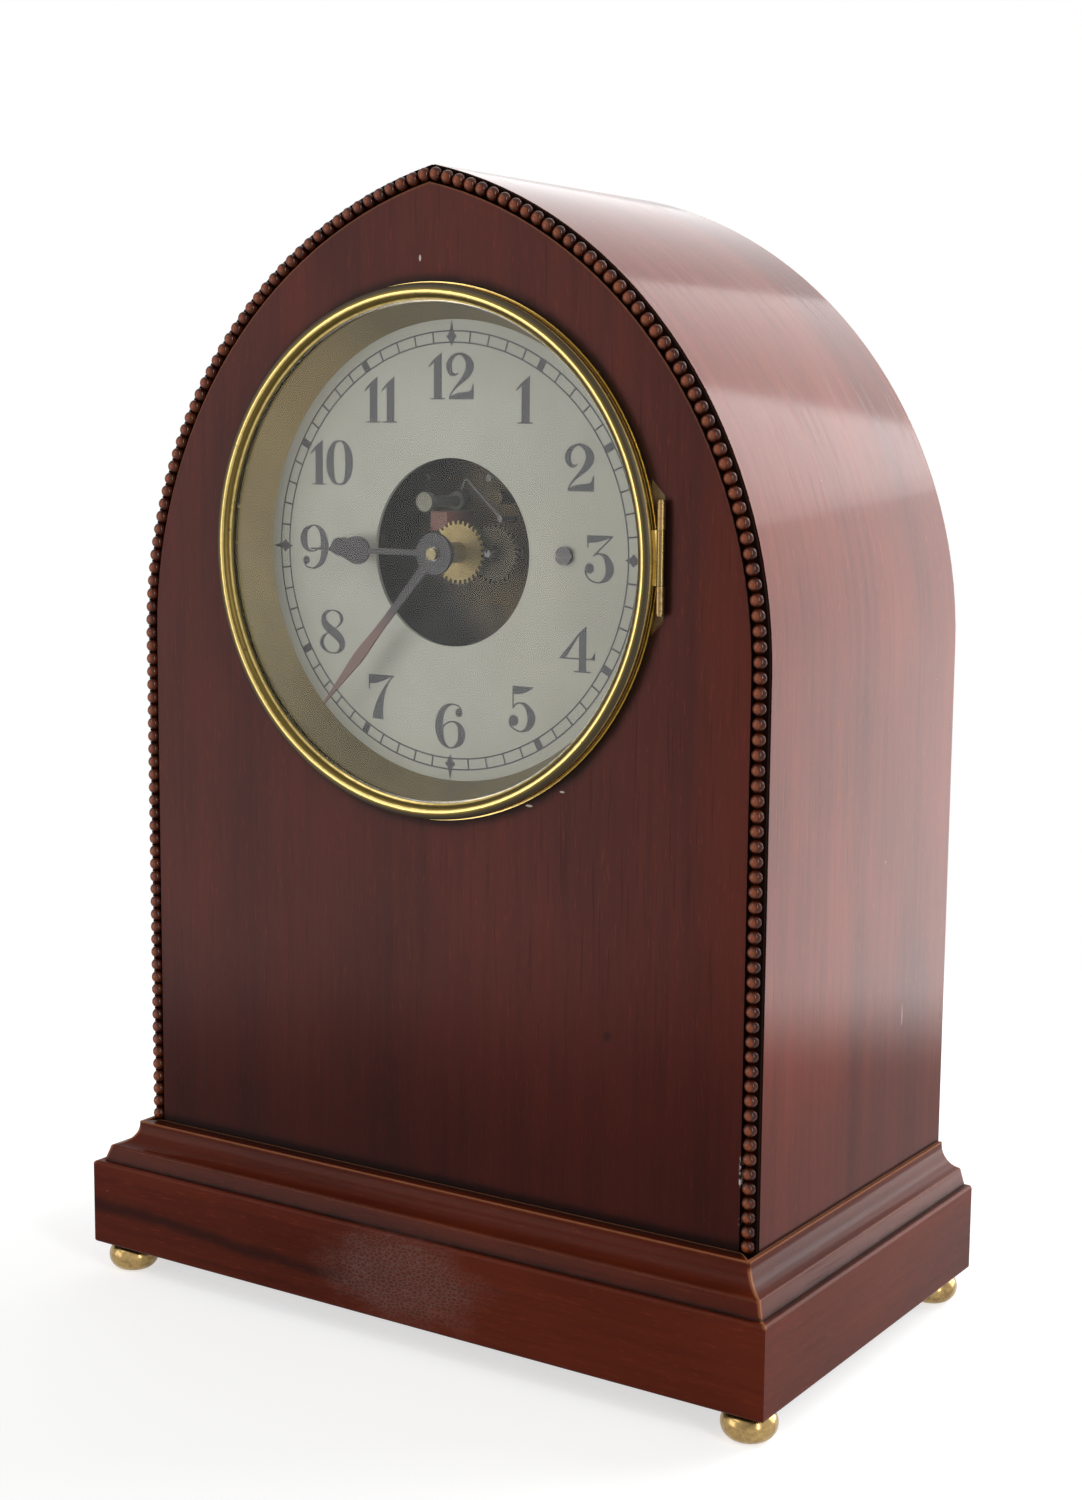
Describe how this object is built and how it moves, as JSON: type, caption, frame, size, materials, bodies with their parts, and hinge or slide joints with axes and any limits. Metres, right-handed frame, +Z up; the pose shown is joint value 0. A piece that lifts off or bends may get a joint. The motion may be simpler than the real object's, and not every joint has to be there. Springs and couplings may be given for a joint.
{
  "type": "beehive shelf clock",
  "caption": "Pointed-arch wooden shelf clock with beaded edge, hinged glazed bezel, open-centre dial, electric pendulum movement and hinged back door.",
  "frame": {"origin": "on the surface the feet stand on, below the middle of the overall box", "axes": "+X to the viewer's right, +Y from the front to the back, +Z up"},
  "size_m": [0.249, 0.15, 0.352],
  "materials": {
    "mahogany": "french polish, deep red brown",
    "mahogany_sides": "french polish, deep red brown",
    "mahogany_plinth": "french polish, worn in places",
    "mahogany_moulding": "french polish, rubbed on the edges",
    "bead_wood": "french polish, dark in the recesses",
    "plain_wood": "plain, unpolished",
    "door_wood": "thin polish",
    "bezel_brass": "lacquered, darkened with age",
    "sight_brass": "dull, brushed round",
    "foot_brass": "darkened",
    "silvered_brass": "silvered, matt",
    "dial_glass": "flat, clear",
    "hand_steel": "brown-blued, satin",
    "screw_steel": "blued",
    "wheel_brass": "bright",
    "arbor_steel": "polished",
    "plate_brass": "darkened",
    "nickel": "nickel plate",
    "fibre": "brown-red vulcanised fibre",
    "coil_wire": "silk-covered wire, varnished",
    "stand_iron": "black japan",
    "magnet_steel": "ground",
    "cell_card": "plain card sleeve, zinc rim",
    "door_brass": "darkened"
  },
  "bodies": {
    "case": {"plinth_front": "mahogany_plinth", "plinth_left": "mahogany_plinth", "plinth_right": "mahogany_plinth", "plinth_back": "mahogany_plinth", "base_board": "plain_wood", "bun_feet": "foot_brass", "moulding_front": "mahogany_moulding", "moulding_left": "mahogany_moulding", "moulding_right": "mahogany_moulding", "case_side_left": "mahogany_sides", "case_side_right": "mahogany_sides", "front_panel": "mahogany", "bead_string_left": "bead_wood", "bead_string_right": "bead_wood", "stop_rail": "plain_wood", "sight_ring": "sight_brass", "dial": "silvered_brass", "rim_screws": "screw_steel", "dial_screws": "screw_steel", "bezel_hinge_leaf": "bezel_brass", "bezel_hinge_pin": "bezel_brass", "minute_stud": "arbor_steel", "front_plate": "plate_brass", "back_plate": "plate_brass", "plate_pillars": "plate_brass", "frame_screws": "screw_steel", "movement_stand": "stand_iron", "wood_screws": "screw_steel", "contact_post": "nickel", "insulating_block": "fibre", "contact_springs": "arbor_steel", "suspension_cock": "plate_brass", "bar_magnet": "magnet_steel", "magnet_brackets": "plate_brass", "dry_cell": "cell_card", "cell_clip": "arbor_steel", "case_hinge_leaves": "door_brass"},
    "bezel": {"bezel_ring": "bezel_brass", "dial_glass": "dial_glass", "glass_retainer": "bezel_brass"},
    "back_door": {"back_door": "door_wood", "door_hinge_leaves": "door_brass"},
    "latch": {"door_latch": "door_brass"},
    "minute_train": {"minute_hand": "hand_steel", "hand_nut": "wheel_brass", "cannon_pinion": "arbor_steel", "centre_arbor": "arbor_steel", "centre_wheel": "wheel_brass"},
    "hour_train": {"hour_hand": "hand_steel", "hour_wheel": "wheel_brass"},
    "minute_wheel": {"minute_wheel": "wheel_brass"},
    "third_wheel": {"third_wheel": "wheel_brass"},
    "count_wheel": {"count_wheel": "wheel_brass"},
    "pendulum": {"suspension_spring": "arbor_steel", "pendulum_rod": "arbor_steel", "coil_bobbin": "fibre", "coil_winding": "coil_wire", "coil_hanger": "arbor_steel"},
    "rating_nut": {"rating_nut": "plate_brass"},
    "contact_lever": {"contact_lever": "arbor_steel"}
  },
  "joints": [
    {"name": "bezel_open", "type": "hinge", "parent": "case", "child": "bezel", "pos_m": [0.0798, -0.0611, 0.2422], "axis": [0, 0, 1], "range_deg": [0, 110]},
    {"name": "door_open", "type": "hinge", "parent": "case", "child": "back_door", "pos_m": [-0.1051, 0.0689, 0.142], "axis": [0, 0, 1], "range_deg": [0, 110]},
    {"name": "latch_turn", "type": "hinge", "parent": "back_door", "child": "latch", "pos_m": [0.092, 0.063, 0.1501], "axis": [0, 1, 0], "range_deg": [0, 90]},
    {"name": "minute_turn", "type": "hinge", "parent": "case", "child": "minute_train", "pos_m": [0, -0.0484, 0.2402], "axis": [0, 1, 0], "continuous": true},
    {"name": "hour_turn", "type": "hinge", "parent": "case", "child": "hour_train", "pos_m": [0, -0.0484, 0.2402], "axis": [0, 1, 0], "continuous": true},
    {"name": "minute_wheel_turn", "type": "hinge", "parent": "case", "child": "minute_wheel", "pos_m": [0.0113, -0.0416, 0.2402], "axis": [0, 1, 0], "continuous": true},
    {"name": "third_turn", "type": "hinge", "parent": "case", "child": "third_wheel", "pos_m": [-0.01559, -0.02, 0.2492], "axis": [0, 1, 0], "continuous": true},
    {"name": "count_turn", "type": "hinge", "parent": "case", "child": "count_wheel", "pos_m": [-0.02279, -0.0155, 0.26167], "axis": [0, 1, 0], "continuous": true},
    {"name": "pendulum_swing", "type": "hinge", "parent": "case", "child": "pendulum", "pos_m": [0, 0.005, 0.2852], "axis": [0, 1, 0], "range_deg": [-6, 6]},
    {"name": "rating_turn", "type": "hinge", "parent": "pendulum", "child": "rating_nut", "pos_m": [0, 0.005, 0.1102], "axis": [0, 0, 1], "continuous": true},
    {"name": "lever_rock", "type": "hinge", "parent": "case", "child": "contact_lever", "pos_m": [0, -0.006, 0.262], "axis": [0, 1, 0], "range_deg": [-16, 16]}
  ],
  "couplings": [
    {"joint": "hour_turn", "follows": "minute_turn", "ratio": 0.083333},
    {"joint": "minute_wheel_turn", "follows": "minute_turn", "ratio": -0.33333},
    {"joint": "third_turn", "follows": "minute_turn", "ratio": -8},
    {"joint": "count_turn", "follows": "minute_turn", "ratio": 64},
    {"joint": "lever_rock", "follows": "pendulum_swing", "ratio": 2.6571}
  ]
}
